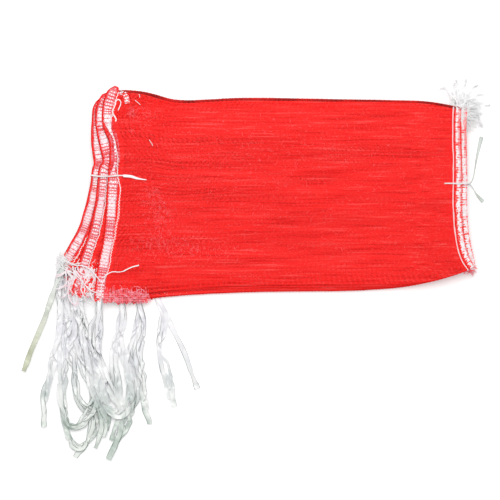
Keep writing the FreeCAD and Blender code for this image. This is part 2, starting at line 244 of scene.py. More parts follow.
def noise(x, y, cell_x, cell_y, seed):
    """Smooth random field between -1 and 1, with its own cell size along X and Y."""
    grid = np.random.default_rng(seed).uniform(-1, 1, (NOISE_CELLS, NOISE_CELLS))
    at_x = x / cell_x + 0.37 * seed
    at_y = y / cell_y + 0.71 * seed
    column, row = np.floor(at_x).astype(int), np.floor(at_y).astype(int)
    right, over = eased(at_x - column), eased(at_y - row)
    column, after = column % NOISE_CELLS, (column + 1) % NOISE_CELLS
    low, high = (grid[column, at] * (1 - right) + grid[after, at] * right
                 for at in (row % NOISE_CELLS, (row + 1) % NOISE_CELLS))
    return low * (1 - over) + high * over


def wander(run, cell, seed):
    """Smooth random values between -1 and 1 along a line."""
    return noise(run, 0 * run, cell, 1, seed)


def by_y(table, points):
    """What a table of Y and value says for each point."""
    return np.interp(points[:, 1], *zip(*table))


# ---------------------------------------------------------------- meshes


FILM_POINTS = 5  # across a film, on each face


class Shape:
    """Points in millimetres and faces, gathered before they become one piece."""

    def __init__(self):
        self.points = []
        self.faces = []
        self.rims = []
        self.count = 0

    def skin(self, rings, rim=0.0):
        """Closed skins over rings: an array of strands, rings along each, corners round each ring.

        rim is 1 at the edges of a film.
        """
        strands, length, corners, _ = rings.shape
        index = self.count + np.arange(strands * length * corners).reshape(strands, length, corners)
        beside = np.roll(index, -1, axis=2)
        quads = np.stack([index[:, :-1], index[:, 1:], beside[:, 1:], beside[:, :-1]], -1)
        self.faces += [quads.reshape(-1, 4), index[:, 0], index[:, -1, ::-1]]
        self.points.append(rings.reshape(-1, 3))
        self.rims.append(np.broadcast_to(rim, (strands, length, corners)).ravel())
        self.count += strands * length * corners

    def strands(self, lines, width, thick, corners=4, side=None, flat=False):
        """Threads along lines, an array of strands, points along each and coordinates.

        A flat thread has a level face on top, and a round one has an edge there for smooth shading.
        """
        along = unit(np.gradient(lines, axis=1))
        side = unit(np.cross(along, UP)) if side is None else np.broadcast_to(side, lines.shape)
        over = unit(np.cross(side, along))
        angle = math.pi / 2 + (np.arange(corners) + (0.5 if flat else 0)) * 2 * math.pi / corners
        if flat:
            width = np.asarray(width) / math.sin(math.pi / corners)
            thick = np.asarray(thick) / math.cos(math.pi / corners)
        width = np.broadcast_to(width, lines.shape[:2])[..., None, None]
        thick = np.broadcast_to(thick, lines.shape[:2])[..., None, None]
        self.skin(
            lines[:, :, None]
            + side[:, :, None] * width * np.cos(angle)[:, None] / 2
            + over[:, :, None] * thick * np.sin(angle)[:, None] / 2
        )

    def yarns(self, lines, width, thick, corners=4, side=None):
        """Flat threads along lines."""
        self.strands(lines, width, thick, corners, side, flat=True)

    def film(self, line, width, turn, curl):
        """Flat film along one line. width, turn and curl are given along it."""
        along = unit(np.gradient(line, axis=0))
        side = unit(np.cross(along, UP))
        over = np.cross(side, along)
        turn = np.broadcast_to(turn, len(line))[:, None]
        width = np.broadcast_to(width, len(line))[:, None, None]
        curl = np.broadcast_to(curl, len(line))[:, None, None]
        flat = side * np.cos(turn) + over * np.sin(turn)
        proud = over * np.cos(turn) - side * np.sin(turn)
        place = np.linspace(1, -1, FILM_POINTS)[:, None]
        middle = line[:, None] + flat[:, None] * width * place / 2 + proud[:, None] * curl * (1 - place**2)
        half = proud[:, None] * ribbon_thickness / 2
        ring = np.concatenate([middle + half, (middle - half)[:, ::-1]], 1)
        rim = np.abs(place[:, 0])
        self.skin(ring[None], np.concatenate([rim, rim]))

    def piece(self, name, material, slot, smooth=False):
        """The finished mesh object."""
        points = np.concatenate(self.points)
        corners = np.concatenate([group.ravel() for group in self.faces]).astype(np.int32)
        sizes = np.concatenate([np.full(len(group), group.shape[1]) for group in self.faces])
        starts = np.concatenate([[0], np.cumsum(sizes)[:-1]]).astype(np.int32)
        mesh = bpy.data.meshes.new(name)
        mesh.vertices.add(len(points))
        mesh.vertices.foreach_set("co", (points * MM).astype(np.float32).ravel())
        mesh.loops.add(len(corners))
        mesh.loops.foreach_set("vertex_index", corners)
        mesh.polygons.add(len(starts))
        mesh.polygons.foreach_set("loop_start", starts)
        mesh.polygons.foreach_set("use_smooth", np.full(len(starts), smooth))
        mesh.update(calc_edges=True)
        mesh.materials.append(material)
        rim = mesh.attributes.new("rim", "FLOAT", "POINT")
        rim.data.foreach_set("value", np.concatenate(self.rims).astype(np.float32))
        self.lay_out_bake(mesh, points, corners)
        return show(name, mesh)

    def lay_out_bake(self, mesh, points, corners):
        """A plan view as the map for baking, leant over so that upright faces have some width in it."""
        lean = np.stack([points[:, 0] + 0.31 * points[:, 2], points[:, 1] + 0.57 * points[:, 2]], 1)
        low = lean.min(0)
        size = max(np.ptp(lean, axis=0).max(), 1e-6)
        layer = mesh.uv_layers.new(name="OFBake")
        layer.data.foreach_set("uv", ((lean - low) / size)[corners].astype(np.float32).ravel())

    def rest_on_bundle(self, name, material, node, slot="thread", smooth=False):
        """A piece that stays with the bundle and stands for a node."""
        piece = self.piece(name, material, slot, smooth)
        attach(piece, "bundle")
        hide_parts(node)


# ---------------------------------------------------------------- materials


def wire(tree, node, inputs):
    """Give inputs of a node, by name or number, their values, or link them to outputs."""
    for name, value in inputs.items():
        if isinstance(value, bpy.types.NodeSocket):
            tree.links.new(value, node.inputs[name])
        else:
            node.inputs[name].default_value = value


def add_node(tree, kind, inputs=None, **settings):
    """A new node of a tree."""
    node = tree.nodes.new("ShaderNode" + kind)
    for name, value in settings.items():
        setattr(node, name, value)
    wire(tree, node, inputs or {})
    return node


def new_material(name):
    """A node material with its tree and its Principled shader."""
    material = bpy.data.materials.new(name)
    material.use_nodes = True
    tree = material.node_tree
    return material, tree, tree.nodes["Principled BSDF"]


def object_place(tree):
    """Coordinates of the object, in metres."""
    return add_node(tree, "TexCoord").outputs["Object"]


def object_noise(tree, stretch, scale, detail):
    """Noise in the object's own coordinates, with its own stretch along each axis."""
    place = add_node(tree, "Mapping", {"Vector": object_place(tree), "Scale": stretch}).outputs["Vector"]
    return add_node(tree, "TexNoise", {"Vector": place, "Scale": scale, "Detail": detail}).outputs["Fac"]


def ramp(tree, factor, *stops):
    """Colours between stops, each a position and a linear colour."""
    node = add_node(tree, "ValToRGB", {"Fac": factor})
    while len(node.color_ramp.elements) < len(stops):
        node.color_ramp.elements.new(0.5)
    for element, (position, colour) in zip(node.color_ramp.elements, stops):
        element.position = position
        element.color = (*colour, 1.0)
    return node.outputs["Color"]


def between(tree, value, first, last):
    """0 where a value is first or before it, 1 where it is last or after it."""
    return add_node(tree, "MapRange", {"Value": value, "From Min": first, "From Max": last}).outputs["Result"]


def mixed(tree, factor, first, second):
    """The first colour at a factor of 0, and the second at 1."""
    return add_node(tree, "Mix", {"Factor": factor, 6: first, 7: second}, data_type="RGBA").outputs[2]


def bumped(tree, shader, factor, strength, distance):
    """Fine relief from a factor."""
    bump = add_node(tree, "Bump", {"Strength": strength, "Distance": distance, "Height": factor})
    wire(tree, shader, {"Normal": bump.outputs["Normal"]})


EVEN = (1.0, 1.0, 1.0)
WHITE = (1.0, 1.0, 1.0)


def make_net_material():
    """Red polythene yarn, with painted shade and painted highlight in streaks along the wales, and paler
    clouds of painted sheen.
    """
    material, tree, shader = new_material("net")
    # Darker and paler streaks along the wales: painted shade and painted highlight of the lengthwise pleats.
    pleat_shade_streaks = object_noise(tree, (0.045, 1.0, 1.0), 420.0, 3.0)
    colour = ramp(tree, pleat_shade_streaks, (0.32, (0.8, 0.008, 0.007)), (0.42, (0.99, 0.018, 0.016)),
                  (0.58, (1.0, 0.024, 0.021)), (0.75, (1.0, 0.09, 0.085)))
    # Paler clouds mixed into the red: a painted sheen of the yarn.
    painted_sheen = ramp(tree, object_noise(tree, EVEN, 560.0, 2.0), (0.52, (0.0, 0.0, 0.0)), (0.74, (0.3, 0.3, 0.3)))
    wire(tree, shader, {"Base Color": mixed(tree, painted_sheen, colour, (1.0, 0.16, 0.15, 1.0)),
                        "Roughness": 0.55, "Specular IOR Level": 0.1})
    bumped(tree, shader, object_noise(tree, EVEN, 2600.0, 2.0), 0.25, 0.0002)
    return material


def make_plain_net_material(name, opacity, dull, bright, cloud=(EVEN, 240.0, 2.0), roughness=0.5):
    """Yarn of two colours in clouds, for net that is stretched thin or frayed, for darker net at the folds
    that is partly grime and partly painted shade, and for lint.
    """
    material, tree, shader = new_material(name)
    colour = ramp(tree, object_noise(tree, *cloud), (0.35, dull), (0.65, bright))
    wire(tree, shader, {"Base Color": colour, "Roughness": roughness, "Specular IOR Level": 0.2,
                        "Alpha": opacity})
    return material


def make_film_material(name, opacity, dull, bright, far_dull, far_bright, outline_shade_pale, outline_shade_dark,
                       far_from=-0.2, far_to=-0.31):
    """Milky polythene film, with a painted outline at its edges that stands for the light bent there, and
    other colours towards the far ends of the tails.
    """
    material, tree, shader = new_material(name)
    clouds = object_noise(tree, (1.0, 0.5, 1.0), 70.0, 2.0)
    near_colour = ramp(tree, clouds, (0.35, dull), (0.6, bright))
    far_colour = ramp(tree, clouds, (0.35, far_dull), (0.6, far_bright))
    axes = add_node(tree, "SeparateXYZ", {"Vector": object_place(tree)})
    colour = mixed(tree, between(tree, axes.outputs["Y"], far_from, far_to), near_colour, far_colour)
    # The outline at the edges is painted: mostly dark, it stands for the light that the film's edges bend.
    # The noise here only varies it along the edge.
    wear = object_noise(tree, (1.0, 0.6, 1.0), 34.0, 1.0)
    rim = add_node(tree, "Attribute", attribute_name="rim").outputs["Fac"]
    painted_outline_shade = ramp(tree, wear, (0.38, outline_shade_pale), (0.53, outline_shade_dark))
    colour = mixed(tree, between(tree, rim, 0.76, 0.95), colour, painted_outline_shade)
    wire(tree, shader, {"Base Color": colour, "Roughness": 0.28, "Alpha": opacity})
    bumped(tree, shader, object_noise(tree, (1.0, 0.2, 1.0), 420.0, 3.0), 0.3, 0.0006)
    return material


def make_thread_material():
    """White spun thread."""
    material, tree, shader = new_material("thread")
    fibres = object_noise(tree, EVEN, 900.0, 3.0)
    colour = ramp(tree, fibres, (0.3, (0.84, 0.83, 0.84)), (0.6, (0.96, 0.95, 0.96)))
    wire(tree, shader, {"Base Color": colour, "Roughness": 0.8})
    bumped(tree, shader, object_noise(tree, EVEN, 3000.0, 2.0), 0.4, 0.0003)
    return material


net = make_net_material()
open_net = make_plain_net_material("open_net", 0.62, (1.0, 0.06, 0.07), (1.0, 0.3, 0.36))
worn_net = make_plain_net_material("worn_net", 0.45, (1.0, 0.22, 0.28), (1.0, 0.62, 0.68))
lint = make_plain_net_material("lint", 1.0, (0.95, 0.94, 0.94), WHITE)
frayed_net = make_plain_net_material("frayed_net", 1.0, (1.0, 0.07, 0.08), (1.0, 0.42, 0.5))
faded_net = make_plain_net_material("faded_net", 1.0, (1.0, 0.05, 0.055), (1.0, 0.17, 0.19))
pink_lint = make_plain_net_material("pink_lint", 0.85, (1.0, 0.74, 0.8), (1.0, 0.97, 0.98))
# Where the net turns over at the long edges it is darker: partly grime from handling, partly painted shade of
# the folds.
grime_and_shade_net = make_plain_net_material("grime_and_shade_net", 1.0, (0.3, 0.008, 0.006), (0.72, 0.016, 0.014),
                                   ((0.3, 1.0, 1.0), 90.0, 3.0), 0.6)
film = make_film_material("film", 0.92, (0.86, 0.86, 0.9), (1.0, 0.99, 1.0), (0.46, 0.56, 0.49),
                          (0.9, 0.93, 0.89), (0.86, 0.86, 0.89), (0.1, 0.15, 0.13))
single_film = make_film_material("single_film", 0.85, (0.74, 0.79, 0.76), (0.9, 0.92, 0.88),
                                 (0.5, 0.53, 0.36), (0.66, 0.69, 0.52), (0.6, 0.64, 0.56), (0.42, 0.47, 0.4),
                                 far_from=-0.12, far_to=-0.21)
# Pink clouds on the ribbon in the hems: painted reflection of the red net round it.
bunched_film = make_film_material("bunched_film", 0.97, (1.0, 0.74, 0.81), (1.0, 0.96, 0.98),
                                  (1.0, 0.8, 0.86), (1.0, 0.96, 0.98), (1.0, 0.75, 0.82), (1.0, 0.7, 0.78))
tie_film = make_film_material("tie_film", 0.95, (0.95, 0.93, 0.93), (1.0, 0.98, 0.98), WHITE, WHITE,
                              (0.9, 0.8, 0.8), (0.8, 0.6, 0.6))
grey_tie_film = make_film_material("grey_tie_film", 0.6, (0.55, 0.63, 0.57), (0.8, 0.86, 0.82), WHITE, WHITE,
                                   (0.45, 0.52, 0.47), (0.3, 0.36, 0.32))
thread = make_thread_material()

# ---------------------------------------------------------------- how the pile lies

# Places from here on are in the frame's X and Y. The last number in a call of noise or wander is its seed.
PILE_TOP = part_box("bag_8_front_panel")[1].z / MM


def settle(x, y):
    """Share of its height that the limp pile keeps at a place: all of it where the ties hold it."""
    low_end = 0.3 * eased((-150 - x) / 40) * eased((10 - y) / 130)
    middle = 0.2 * eased((x + 185) / 70) * eased((232 - x) / 60)
    low_edge = 0.42 * np.exp(-np.maximum(y + 124, 0) / 7) * eased((x + 195) / 40)
    top_edge = 0.35 * np.exp(-np.maximum(124 - y, 0) / 7) * eased((x + 170) / 40)
    return 1 - low_end - middle - low_edge - top_edge


def pleats(x, y):
    """Height of the lengthwise pleats that the whole pile shares, for the top of the pile."""
    to_seam = eased((x - 130) / 80)
    strength = 0.3 + 0.25 * to_seam + 0.12 * noise(x, y, 90, 60, 3)
    fine = noise(x, y, 62, 4.2, 11) + 0.5 * noise(x, y, 26, 2.6, 12)
    crease = np.maximum(0, 1 - np.abs(noise(x, y, 58, 5.0, 14)) / 0.17)
    gather = (0.5 + 0.5 * np.cos(2 * math.pi * (y / 5.8 + 0.8 * noise(x, y, 140, 40, 15)))) ** 8
    gather = gather * eased((x - 70) / 120) * eased(0.75 + 1.2 * noise(x, y, 80, 8, 16))
    folds = 0.2 * (1 - to_seam) * crease + 0.38 * gather
    return strength * (0.6 * fine + 0.9 * noise(x, y, 120, 16, 13)) - folds


def drift(x, y):
    """How far the wales lie to one side of their even places."""
    return 1.5 * noise(x, y, 60, 8, 21) + 2.2 * noise(x, y, 160, 34, 22)


def height(level, x, y):
    """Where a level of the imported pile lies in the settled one: never far below half of it."""
    least = 0.12 + 0.9 * level * 0.55
    return np.maximum(level * settle(x, y) + (0.25 + 0.75 * (level / PILE_TOP)) * pleats(x, y), least)


def lay(points, level, lift=0.0):
    """Put points at a level of the pile, and this much higher."""
    points[..., 2] = height(level, points[..., 0], points[..., 1]) + lift
    return points


# ---------------------------------------------------------------- bags

WALES = 66
FINE_COURSES = 141
PLAIN_COURSES = 103
SEAM_COURSES = 6
NET_LENGTH = 450  # about, from the hems to the seams
YARN = 0.35  # thickness that a ply takes in the pile
INLAY_BELOW = 0.12  # how far the inlay lies under the wales
panel_from = 6.5  # of the ribbon, towards the bag

# How the mouths of the limp bags wander from the straight lines of the solids: points from the +Y corner
# to the tie for the three bags that show there, and how far each lies to one side below the tie.
upper_ways = {
    6: [(-210, 121), (-219, 117), (-221, 92), (-221, 60), (-217, 38)],
    7: [(-204, 130), (-214, 120), (-217, 94), (-210, 64), (-204, 42)],
    8: [(-198, 138), (-203, 126), (-207.5, 108), (-206, 88), (-197, 71), (-196, 42)],
}
lower_sways = [0, 1, 0, 0, 0, 2.5, -2, -3]

# The long +Y edge of the panels, and the way of a seam from there, with its X measured from that of its top.
top_way = [(-178, 136), (-150, 132.5), (-117, 122), (-72, 124.5), (-18, 127), (70, 125), (160, 123.5),
           (218, 122)]
seam_way = [(-2, 98), (0, 40), (-1, -20), (0.15 * seam_skew, -58), (0.55 * seam_skew, -86)]

# How far the net of some hems hangs on over the tails.
hems_beyond = {7: 15, 4: 8}


class Bag:
    """Where one bag lies, and the lines that its pieces follow."""

    def __init__(self, number):
        lie = lies[number - 1]
        self.number = number
        self.name = "bag_%d_" % number
        self.body = "drawstring_%d" % number
        self.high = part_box(self.name + "front_panel")[1].z / MM
        self.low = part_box(self.name + "back_panel")[0].z / MM
        self.middle = (self.high + self.low) / 2
        self.front_level = self.high - hem_side / 2
        self.back_level = self.low + hem_side / 2
        self.corner = np.array([mouth_x + lie.corner[0], half_width + lie.corner[1], 0.0])
        self.tie = np.array([mouth_x + lie.tie_dx, mouth_tie_y, 0.0])
        self.exit = np.array([mouth_x + lie.exit[0], -half_width + lie.exit[1], 0.0])
        sideways = 0.28 * (self.exit[0] - self.tie[0])
        self.knee = np.array([self.tie[0] + sideways, (self.tie[1] + self.exit[1]) / 2, 0.0])
        self.out = unit(self.exit - self.knee)
        below = (self.knee + self.exit) / 2 + [lower_sways[number - 1], 0, 0]
        if number in upper_ways:
            upper = plan(upper_ways[number])
        else:
            upper = [self.corner + [6, -3, 0], self.corner - [2, 10, 0], (self.corner + self.tie) / 2]
        by_tie = [self.tie + [0, 8, 0], self.tie - [0, 8, 0]]
        self.mouth = Line(bspline([*upper, *by_tie, self.knee, below, self.exit]))
        self.foot_share = 1 + hems_beyond.get(number, 0) / self.mouth.length

        seam_at = seam_x + lie.seam_dx
        seam_top = [seam_at, half_width - seam_corner_inset + 2.5, 0]
        seam_foot = [seam_x + seam_skew + 2, -half_width + seam_foot_inset + 2, 0]
        self.seam = Line(bspline([seam_top, *plan((seam_at + x, y) for x, y in seam_way), seam_foot]))
        low_y = -half_width - lie.bow
        low_way = [(-90, low_y - 3), (10, low_y), (130, low_y + 0.5), (219, -116)]
        self.top_edge = self.edge(0.0, top_way, seam_top)
        self.low_edge = self.edge(self.foot_share, low_way, seam_foot)

    def edge(self, share, way, seam_end):
        """A long edge of the panels: from the hem at a share of the mouth, by its way to the seam."""
        return Line(bspline([self.beside(share, panel_from), *plan(way), seam_end]))

    def beside(self, share, left):
        """Points beside the mouth, from the +Y corner at 0 to the exit at 1."""
        return self.mouth.beside(share, left)

    def sides(self):
        """Both sides of the hem: 1 and the level of the front one, -1 and that of the back one."""
        return (1, self.front_level), (-1, self.back_level)

    def wear(self, shape, name, material, node, slot="net", smooth=False):
        """A piece that stands for a node of the bag."""
        piece = shape.piece(self.name + name, material, slot, smooth)
        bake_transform(piece)
        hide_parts(self.name + node)


bags = [Bag(number) for number in range(1, 9)]
top_bag = bags[-1]


def panel_grid(bag, courses, side):
    """Knots of a panel: wales from the -Y edge up, and courses from the hem to the seam's outer edge.

    side is 1 for the front panel and -1 for the back one.
    """
    phase = 0.5 + 0.31 * wander(np.array([2.0 * bag.number + side]), 1, 17)
    across, along = np.meshgrid((np.arange(WALES) + phase) / WALES, np.linspace(0, 1, courses), indexing="ij")
    left, right = bag.beside((1 - across) * bag.foot_share, panel_from), bag.seam.at(1 - across)
    low, top = bag.low_edge.at(along), bag.top_edge.at(along)
    v, t = across[..., None], along[..., None]
    ends = [bag.low_edge.at(0.0), bag.low_edge.at(1.0), bag.top_edge.at(0.0), bag.top_edge.at(1.0)]
    flat = (1 - t) * left + t * right + (1 - v) * low + v * top
    flat -= (1 - v) * ((1 - t) * ends[0] + t * ends[1]) + v * ((1 - t) * ends[2] + t * ends[3])
    free = eased(along / 0.08) * eased((1 - along) / 0.06) * eased(across / 0.04) * eased((1 - across) / 0.04)
    x, y = flat[..., 0], flat[..., 1]
    own = 1.3 * noise(x, y, 95, 17, 600 + 2 * bag.number + side)
    uneven = noise(x, y, 6, 5, 640 + 2 * bag.number + side)
    flat[..., 1] += (drift(x, y) + own) * free
    flat[..., 0] += 1.1 * uneven * free

    beyond = np.linspace(seam_width / SEAM_COURSES, seam_width - 0.2, SEAM_COURSES)
    grid = np.concatenate([flat, bag.seam.beside(1 - across[:, :1], beyond)], 1)
    from_seam = np.concatenate([(1 - along) * NET_LENGTH, -np.broadcast_to(beyond, (WALES, SEAM_COURSES))], 1)
    open_by = 0.3 + 0.5 * eased((from_seam - 1) / 14) + 0.2 * eased((from_seam - 400) / 40)
    sewn = eased((1.5 - from_seam) / 2)
    open_by += sewn * (0.42 + 0.5 * noise(grid[..., 0], grid[..., 1], 1.7, 2.3, 660 + bag.number + side))
    return lay(grid, bag.middle + side * (bag.high - bag.middle - YARN / 2) * open_by)


def zigzag(first, second):
    """Inlay between neighbouring wales: it changes sides at every course."""
    start = np.random.default_rng(len(first)).integers(0, 2, len(first))
    odd = ((start[:, None] + np.arange(first.shape[1])) % 2 == 1)[..., None]
    line = np.where(odd, second, first).copy()
    line[..., 2] -= INLAY_BELOW
    return line


# Places where the hem's corner is rubbed open: X, Y and reach along both.
rubbed_places = [(-181, 124, 5, 8), (-192, 131, 5, 6), (-176, 108, 4, 9), (-170, 119, 4, 3)]


def closeness(x, y):
    """How closely the net is bunched: it is open at the corners where its edge is frayed or rubbed."""
    low_left = 0.6 * eased((-118 - x) / 25) * eased((-121 - y) / 8)
    low_right = eased((x - 228) / 25) * eased((-90 - y) / 12)
    rubbed = np.zeros_like(x)
    for at_x, at_y, reach_x, reach_y in rubbed_places:
        rubbed = np.maximum(rubbed, np.exp(-((x - at_x) / reach_x) ** 2 - ((y - at_y) / reach_y) ** 2))
    return 1 - 0.72 * np.maximum(np.maximum(low_left, low_right), 0.9 * rubbed)


def knit_panel(wales, inlay, grid, fine, first=0):
    """Wales and inlay of a grid of knots, into two shapes; the wales begin with the one numbered first."""
    close = closeness(grid[..., 0], grid[..., 1])
    between_wales = zigzag(grid[:-1], grid[1:])
    if not fine:
        wales.yarns(grid[first:, ::2], 1.5 * close[first:, ::2], 0.2, corners=3)
        inlay.yarns(between_wales, 1.9 * close[1:], 0.12, corners=3)
        return
    count = grid.shape[1]
    lines = np.empty((len(grid), 2 * count - 1, 3))
    lines[:, ::2], lines[:, 1::2] = grid, (grid[:, 1:] + grid[:, :-1]) / 2
    width = 1.25 + 0.2 * np.cos(np.arange(2 * count - 1) * math.pi)
    width = width * closeness(lines[..., 0], lines[..., 1])
    wales.yarns(lines[first:], width[first:], 0.3)
    inlay.yarns(between_wales, 2.3 * close[1:], 0.14)


def long_fold(shape, bag, front, back, outward):
    """Net turned over a long edge: one wale on the fold, and inlay from it to both panels."""
    fold = (front + back) / 2
    fold[:, 1] += outward * (0.9 + 0.25 * noise(fold[:, 0], fold[:, 1], 14, 50, 30 + bag.number))
    shape.strands(fold[None], 0.8, 0.6)
    lines = np.stack([front, back])
    shape.strands(zigzag(np.broadcast_to(fold, lines.shape), lines), 1.5, 0.2)


def make_panels(bag):
    """Front and back net of a bag, with the folds at its long edges."""
    shown = bag in (bags[0], top_bag)
    courses = FINE_COURSES if shown else PLAIN_COURSES
    grids = [panel_grid(bag, courses, side) for side in (1, -1)]
    grime_and_shade, low_fold = Shape(), Shape()
    for node, grid in zip(("front_panel", "back_panel"), grids):
        fine = shown and (node == "front_panel") == (bag is top_bag)
        wales, inlay = Shape(), Shape()
        knit_panel(wales, inlay, grid[:-1], fine)
        # The last wale and inlay by the +Y edge, and the fold over it, take the darker net: grime with
        # painted shade.
        knit_panel(grime_and_shade, grime_and_shade, grid[-2:], fine, first=1)
        bag.wear(wales, node + "_wales", net, node)
        bag.wear(inlay, node + "_inlay", net, node)
    long_fold(low_fold, bag, grids[0][0], grids[1][0], -1)
    long_fold(grime_and_shade, bag, grids[0][-1], grids[1][-1], 1)
    bag.wear(low_fold, "low_fold", net, "back_panel")
    bag.wear(grime_and_shade, "top_fold", grime_and_shade_net, "back_panel")


# ---------------------------------------------------------------- hems

# The net of a casing in section, from the panel over the ribbon, round the lip and back under it: how
# far towards the bag, and how far over the ribbon.
casing = np.array([(10.4, 0.35), (9.4, 0.26), (8.2, 0.05), (7.0, 0.3), (5.6, 0.55), (3.0, 0.75), (0.0, 0.82),
                   (-3.0, 0.72), (-5.2, 0.5), (-6.6, 0.25), (-7.0, 0.0), (-6.5, -0.25), (-5.0, -0.38),
                   (-2.0, -0.42), (2.0, -0.42), (5.5, -0.38), (8.2, -0.12), (9.8, -0.26)])
RIBBON_FROM, RIBBON_TO = 4, 8  # the stretch of the section that lies over the ribbon
LIP = 10  # where the section turns under
closed_over = (38, 86)  # where the top bag's hem is closed over the ribbon, by Y


def casing_grid(bag, side, level):
    """Knots of a casing: wales from the -Y end up, and courses round its section."""
    length = bag.mouth.length
    share = bag.foot_share * (1 - (np.arange(WALES + 2) - 0.5) / WALES)
    run = share * length
    inner = eased(run / 12) * eased((length - run) / 12)
    share = share + inner * 2.6 / length * wander(run, 8, 36 + 3 * bag.number + side)
    closing = np.sqrt(1 - (1 - np.clip(run / 7, 0.05, 1)) ** 2)[:, None]
    rows = casing[None, :, 0] * (1 + 0.06 * wander(run, 14, 40 + bag.number))[:, None]
    rows = 2 + (rows - 2) * closing
    ragged = 5.5 * wander(rows, 2.6, 56 + bag.number + side) * eased((run - length + 10) / 18)[:, None]
    bulge = closing * (1 + 0.35 * wander(run, 11, 50 + bag.number))[:, None]
    return lay(bag.beside(share[:, None] + ragged / length, rows), level + side * casing[None, :, 1] * bulge)


def make_hem(bag):
    """Net casings round the mouth: close at the lip and the stitches, and pulled open over the ribbon."""
    close, thin, lip = Shape(), Shape(), Shape()
    order = np.arange(WALES + 2)
    ahead = bag.mouth.ahead(1 - (order - 0.5) / WALES)[:, None]
    for side, level in bag.sides():
        grid = casing_grid(bag, side, level)
        bunched = eased(0.36 + 1.1 * wander(order, 4.2, 48 + bag.number + side))
        bunched = np.maximum(bunched, eased((order - WALES + 6.5) / 2))
        if bag is top_bag:
            y = grid[:, RIBBON_FROM, 1]
            bunched = np.maximum(bunched, eased((y - closed_over[0]) / 6) * eased((closed_over[1] - y) / 6))
        bunched = bunched[:, None]
        for parts in (grid[:, :RIBBON_FROM + 1], grid[:, RIBBON_TO:]):
            close.yarns(parts, 2.3, 0.3, side=ahead)
            close.yarns(zigzag(parts[:-1], parts[1:]), 1.4, 0.22)
        lip.strands(grid[:, LIP][None], 1.1, 0.5)
        over = grid[:, RIBBON_FROM:RIBBON_TO + 1]
        thin.yarns(over, 0.45 + 1.7 * bunched, 0.3, side=ahead)
        thin.yarns(zigzag(over[:-1], over[1:]), 0.35 + 0.9 * bunched[1:], 0.22)
    bag.wear(close, "mouth_hem_net", net, "mouth_hem")
    # The lip takes the darker net of the folds: painted shade in the turn of the casing.
    bag.wear(lip, "mouth_hem_lip", grime_and_shade_net, "mouth_hem")
    bag.wear(thin, "mouth_hem_open_net", open_net, "mouth_hem")


def chain(line, pitch, width, lift):
    """A chain stitch along a line: the thread swings out, back over itself and on."""
    count = int(line.length / pitch)
    step = np.arange(count * 6 + 1) / 6
    loose = wander(step, 2.3, count)
    swing = np.sin(step * 2 * math.pi + 1.2 * loose) * (1 + 0.7 * loose)
    along = step + 0.28 * np.sin(step * 4 * math.pi) + 0.3 * loose
    points = line.beside(np.clip(along / count, 0, 1), swing * width / 2)
    points[:, 2] += lift + 0.25 * np.cos(step * 4 * math.pi)
    return points[None]


# Chain stitches: pitch and width.
hem_chain, seam_chain = (3.9, 1.5), (2.8, 1.1)

# How far the stitch lies from the middle of the ribbon: of the lower bags, of bag 7, and of the top bag by Y.
stitch_at = 8.2
stitch_at_7 = 5.5
stitch_track = [(-130, 1), (-116, 2), (-95, 7), (-46, 7.5), (-30, 10), (10, 9.5), (25, 5), (45, 3.6), (70, 0),
                (86, -1), (100, 6), (125, 8)]


def make_hem_stitch(bag):
    """White chain stitch that closes both casings."""
    shape = Shape()
    share = np.linspace(0.01, 0.99, 120)
    away = 0 * share + (stitch_at_7 if bag.number == 7 else stitch_at)
    if bag is top_bag:
        away = by_y(stitch_track, bag.mouth.at(share))
    points = bag.beside(share, away + 1.1 * wander(share * 260, 8, 60 + bag.number))
    for side, level in bag.sides():
        line = Line(lay(points, level + side * (0.45 + 0.35 * eased((8 - away) / 4))))
        shape.yarns(chain(line, *hem_chain, 0.1 * side), 0.65, 0.45)
    bag.wear(shape, "hem_stitch_thread", thread, "hem_stitch", "thread")


# ---------------------------------------------------------------- ribbons in the hems

END_FOLD = 6.0  # closed end of a hem beyond the turn of its ribbon
ribbon_flap = [(-196, 131), (-188, 134), (-182, 128), (-181, 118)]  # a loose fold of the top bag's ribbon

# How far the ribbons of the top bags are spread or bunched inside their casings, by Y.
ribbon_spreads = {
    6: [(-130, 1.15), (24, 1.1), (60, 1.0), (125, 0.9)],
    7: [(-130, 1.0), (20, 1.05), (40, 1.4), (90, 1.35), (130, 1.1)],
    8: [(-130, 1.3), (15, 1.4), (25, 1.0), (34, 0.35), (84, 0.35), (96, 1.3), (122, 1.3), (140, 0.9)],
}


def ribbon_run(bag, shares, level, seed):
    """Line and width of the ribbon along a stretch of a casing."""
    run = shares * bag.mouth.length
    points = bag.beside(shares, 0.6 * wander(run, 30, seed))
    lay(points, level, 0.12 * wander(run, 2.4, seed + 2))
    spread = by_y(ribbon_spreads.get(bag.number, [(0, 1)]), points)
    return points, ribbon_width * spread * (0.95 + 0.14 * wander(run, 8, seed + 1))


